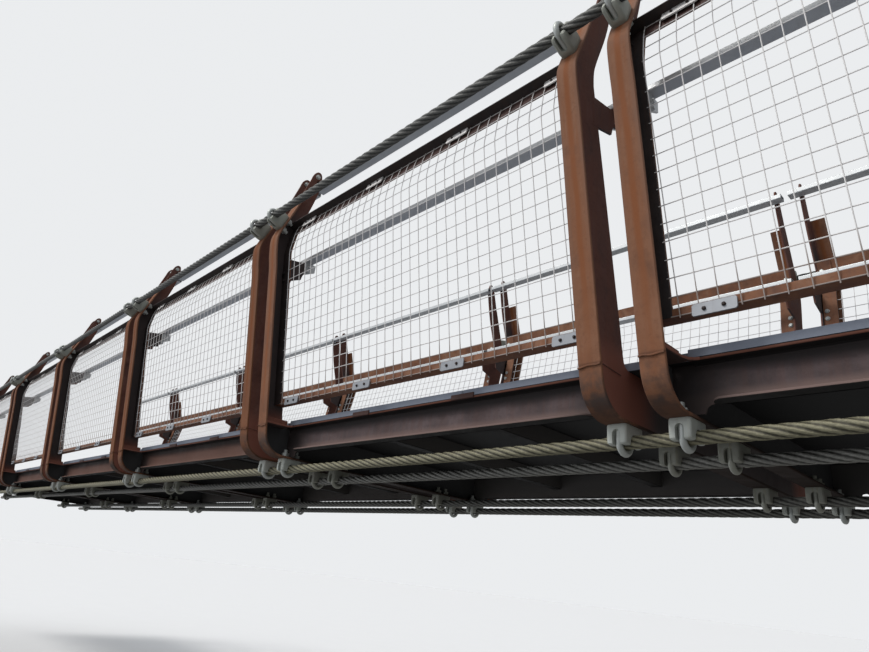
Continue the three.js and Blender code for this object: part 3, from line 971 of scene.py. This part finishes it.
def bar_shape(x_bay, size, side):
    """A bar of one bay with rounded corners, open at both ends."""
    r = 3.5
    cy, cz = side * (size["inner"] + size["outer"]) / 2, (size["bottom"] + size["top"]) / 2
    a, b = (size["outer"] - size["inner"]) / 2, (size["top"] - size["bottom"]) / 2
    x0, x1 = x_bay - BAR_REACH, x_bay + BAR_REACH

    def ring(x, shrink):
        return [(x, cy + u, cz + v) for u, v in rounded(a - shrink, b - shrink, max(r - shrink, 0.8), 3)]

    left = [ring(x0 + BAR_HOLLOW, BAR_WALL), ring(x0, BAR_WALL), ring(x0, 0)]
    right = [ring(x1, 0), ring(x1, BAR_WALL), ring(x1 - BAR_HOLLOW, BAR_WALL)]
    return loft(left + right)


def handrail_piece(name, x_bay, side):
    """A handrail and the plates under its ends, bolted through the frames' webs."""
    mesh = Mesh()
    mesh.add(bar_shape(x_bay, HANDRAIL, side))
    p = END_PLATE
    top = HANDRAIL["bottom"] + 0.5
    corners = ((p["inner"], p["inner_bottom"]), (p["outer"], p["outer_bottom"]), (p["outer"], top),
               (p["inner"], top))
    for end in (-1, 1):
        face, back = x_bay + end * RAIL_REACH, x_bay + end * (RAIL_REACH - p["t"])
        mesh.add(plate([(side * y, z) for y, z in corners], back, face, 1.2))
        for y, z in END_PLATE_BOLTS:
            add_bolt(mesh, (back, side * y, z), (-end, 0, 0), 9)
            add_bolt(mesh, (x_bay + end * HALF_BAY, side * y, z), (end, 0, 0), 9, stub=5)
    return mesh.piece(name, [RAIL_ZINC], "galvanised_steel", crease=12)


def top_bar_piece(name, x_bay, side):
    mesh = Mesh()
    mesh.add(bar_shape(x_bay, TOP_BAR, side))
    return mesh.piece(name, [RAIL_ZINC], "galvanised_steel", crease=12)


# Floors

def beam_web():
    """Outline of an edge beam's web, with a haunch down to the frame at each end."""
    foot = FRAME_FOOT + FLANGE_T + CLEAR
    start = RAIL_REACH - HAUNCH
    half = [(start - 20, BEAM_BOTTOM), *arc(start - 20, foot, BEAM_BOTTOM - foot, 80, 10, 6),
            (start + 3, foot), (RAIL_REACH, foot), (RAIL_REACH, BEAM_TOP - 1)]
    return half + [(-x, z) for x, z in half][::-1]


def beam_piece(name, x_bay):
    """Two edge beams with their toes outward, and the joists between them."""
    mesh = Mesh()
    toe = HALF_BAY - FLANGE - CLEAR
    cope = toe - BEAM_COPE
    heel = BEAM_Y - BEAM_FLANGE
    under_top, on_bottom = BEAM_TOP - BEAM_T, BEAM_BOTTOM + BEAM_T
    web = [(x_bay + x, z) for x, z in beam_web()]
    rounded_end = [(cope, heel), (cope + 27, heel + BEAM_T), (cope + 24, heel + 22), (cope + 15, heel + 37),
                   (cope + 2, BEAM_Y)]
    lower = rounded_end + [(-x, y) for x, y in rounded_end[::-1]]
    for side in (-1, 1):
        mesh.add(plate(web, side * (heel + 0.4), side * (heel + BEAM_T), 1.0, "y"))
        mesh.add(block((x_bay - toe, side * heel, under_top), (x_bay + toe, side * BEAM_Y, BEAM_TOP), 1.6))
        mesh.add(plate([(x_bay + x, side * y) for x, y in lower], BEAM_BOTTOM, on_bottom, 1.4, "z"))
        y = side * (heel + BEAM_T - 0.5)
        for z, up, reach in ((under_top, -1, toe), (on_bottom, 1, cope)):
            fillet = [(y, z - up), (y + side * 8, z - up), (y + side * 8, z + up * 0.5),
                      (y + side * 3, z + up * 2.5), (y + side * 0.8, z + up * 7)]
            mesh.add(loft([[(x, *p) for p in fillet] for x in (x_bay - reach + 1, x_bay + reach - 1)]))
        for x in JOIST_X:
            p = JOIST_PLATE
            mesh.add(block((x_bay + x - p["half"], side * (BEAM_Y - 1), BEAM_TOP - p["below"]),
                           (x_bay + x + p["half"], side * (BEAM_Y + 4), BEAM_TOP + p["above"]), 1.5), 1)
    y = heel + 1
    for x in JOIST_X:
        mesh.add(block((x_bay + x - JOIST_W / 2, -y, BEAM_TOP - JOIST_H),
                       (x_bay + x + JOIST_W / 2, y, BEAM_TOP - 0.5), 3))
    return mesh.piece(name, [BEAM_RUST, SHADED_RUST], "floor_steel")


def deck_piece(name, x_bay):
    """Three panels a bay, which meet over the joists; the outer ones are narrower beside the legs."""
    mesh = Mesh()
    toe = HALF_BAY - FLANGE - CLEAR
    inner, outer = JOIST_X[1] - DECK_SEAM, JOIST_X[1] + DECK_SEAM
    wide, narrow = BEAM_Y, DECK_NARROW_Y
    middle = [(-inner, -wide), (inner, -wide), (inner, wide), (-inner, wide)]
    end = [(outer, -wide), (toe, -wide), (toe, -narrow), (DECK_END, -narrow),
           (DECK_END, narrow), (toe, narrow), (toe, wide), (outer, wide)]
    for points in (middle, end, [(-x, y) for x, y in end]):
        mesh.add(plate([(x_bay + x, y) for x, y in points], BEAM_TOP + 0.2, BEAM_TOP + DECK_T, 1.5, "z"))
    return mesh.piece(name, [DECK_PAINT], "galvanised_steel")


# Ropes

def rope_piece(name, y, z, material):
    """Six strands laid round each other, as one twisted outline."""
    strands, points = 6, 6
    strand_r = 6.4
    lay_r = ROPE_R - strand_r
    half_turn = 1.25
    outline = []
    for centre in turns(strands):
        for k in range(points):
            turn = centre - half_turn + 2 * half_turn * k / (points - 1)
            outline.append((lay_r * math.cos(centre) + strand_r * math.cos(turn),
                            lay_r * math.sin(centre) + strand_r * math.sin(turn)))
    rings_a_lay = 16
    steps = int(ROPE_LENGTH / ROPE_LAY * rings_a_lay)
    rings = []
    for i in range(steps + 1):
        x = -ROPE_LENGTH / 2 + ROPE_LENGTH * i / steps
        a = 2 * math.pi * x / ROPE_LAY
        ca, sa = math.cos(a), math.sin(a)
        rings.append([(x, u * ca - w * sa, u * sa + w * ca) for u, w in outline])
    mesh = Mesh()
    mesh.add(loft(rings))
    return mesh.piece(name, [material], "wire_rope", (0, y, z), 60)


# The bridge

for i, (y, material) in enumerate(zip(DECK_ROPE_Y, (ROPE, SECOND_ROPE, INNER_ROPE, INNER_ROPE))):
    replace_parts(rope_piece(f"laid_deck_rope_{i + 1}", y, ROPE_Z, material), f"deck_rope_{i + 1}")
for side, where in ((-1, "near"), (1, "far")):
    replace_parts(rope_piece(f"laid_top_rope_{where}", side * TOP_ROPE_Y, TOP_ROPE_Z, TOP_ROPE),
                f"top_rope_{where}")

for bay, x in enumerate(BAY_CENTRES, 1):
    for out, end in ((-1, "left"), (1, "right")):
        # Each frame's joint weld lies a little askew, by up to 4 mm across the flange
        tilt = -4 * out * math.sin(1.9 * bay + 1.2)
        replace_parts(frame_piece(f"frame_{bay}_{end}", x + out * CLAMP_X, out, tilt), f"u_frame_{bay}_{end}")
        clamps_piece(f"clamps_{bay}_{end}", x + out * CLAMP_X)
    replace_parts(beam_piece(f"beams_{bay}", x), f"floor_{bay}")
    deck_piece(f"deck_{bay}", x)
    for side, where in ((-1, "near"), (1, "far")):
        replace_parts(net_frame_piece(f"net_frame_{where}_{bay}", x, side), f"side_mesh_{where}_{bay}")
        net_piece(f"net_{where}_{bay}", x, side)
        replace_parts(handrail_piece(f"rail_{where}_{bay}", x, side), f"handrail_{where}_{bay}")
        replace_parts(top_bar_piece(f"bar_{where}_{bay}", x, side), f"top_bar_{where}_{bay}")


# Camera, light and floor

def linked(name, data):
    obj = bpy.data.objects.new(name, data)
    bpy.context.scene.collection.objects.link(obj)
    return obj


def add_camera():
    data = bpy.data.cameras.new("camera")
    data.sensor_width = SENSOR_WIDTH
    data.lens = FOCAL_LENGTH * SENSOR_WIDTH / PHOTO_WIDTH
    data.clip_end = 500
    obj = linked("camera", data)
    turn = Matrix((CAMERA_RIGHT, -Vector(CAMERA_DOWN), -Vector(CAMERA_AHEAD))).transposed().to_4x4()
    obj.matrix_world = Matrix.Translation(CAMERA_PLACE) @ turn
    bpy.context.scene.camera = obj


def add_sun(name, direction, energy, angle, colour):
    data = bpy.data.lights.new(name, "SUN")
    data.energy = energy
    data.angle = math.radians(angle)
    data.color = colour
    linked(name, data).rotation_euler = Vector(direction).to_track_quat("-Z", "Y").to_euler()


def add_world():
    """Soft light from above and from the near side, weaker towards +X and from below."""
    world = bpy.data.worlds.new("sky")
    world.use_nodes = True
    tree = world.node_tree
    place = tree.nodes.new("ShaderNodeTexCoord")
    dot = tree.nodes.new("ShaderNodeVectorMath")
    dot.operation = "DOT_PRODUCT"
    brightest = Vector((-0.50, -0.28, 0.82))
    dot.inputs[1].default_value = brightest.normalized()
    tree.links.new(place.outputs["Generated"], dot.inputs[0])
    height = tree.nodes.new("ShaderNodeMapRange")
    tree.links.new(dot.outputs["Value"], height.inputs["Value"])
    height.inputs["From Min"].default_value = -1
    ramp = tree.nodes.new("ShaderNodeValToRGB")
    tree.links.new(height.outputs[0], ramp.inputs["Fac"])
    stops = [(0.0, (0.24, 0.24, 0.235)), (0.36, (0.26, 0.26, 0.255)), (0.52, (0.55, 0.57, 0.60)),
             (0.66, (0.90, 0.93, 0.97))]
    for _ in stops[2:]:
        ramp.color_ramp.elements.new(0.5)
    for element, (at, colour) in zip(ramp.color_ramp.elements, stops):
        element.position = at
        element.color = (*colour, 1)
    tree.links.new(ramp.outputs["Color"], tree.nodes["Background"].inputs["Color"])
    tree.nodes["Background"].inputs["Strength"].default_value = 0.9
    bpy.context.scene.world = world


def seen_only(obj):
    """Keeps a stage piece out of the light, the shadows and the reflections."""
    obj.visible_diffuse = False
    obj.visible_glossy = False
    obj.visible_shadow = False


def add_stage():
    """A pale floor that runs out to a pale backdrop all round."""
    sides = 96

    def ring(elevation):
        r, z = STAGE_RADIUS * math.cos(elevation), GROUND_Z + STAGE_RADIUS * math.sin(elevation)
        return [(r * math.cos(t), r * math.sin(t), z) for t in turns(sides)]

    floor = Mesh()
    floor.add((ring(0), [list(range(sides))]))
    floor = floor.piece("stage_floor", [plain("stage_pale", (0.70, 0.70, 0.70), 0.9)], None)
    floor.visible_diffuse = False
    floor.visible_glossy = False
    backdrop = Mesh()
    backdrop.add(loft([ring(math.radians(a)) for a in range(0, 90, 6)], False))
    n = Nodes("stage_backdrop")
    n.shader.inputs["Base Color"].default_value = (0, 0, 0, 1)
    n.shader.inputs["Specular IOR Level"].default_value = 0
    n.shader.inputs["Emission Color"].default_value = (0.83, 0.845, 0.86, 1)
    n.shader.inputs["Emission Strength"].default_value = 1
    seen_only(backdrop.piece("stage_backdrop", [n.material], None))


add_camera()
add_world()
add_sun("sun", (0.30, 0.72, -0.86), 1.9, 20, (1.0, 0.98, 0.95))
add_stage()
bpy.context.scene.view_settings.view_transform = "Standard"
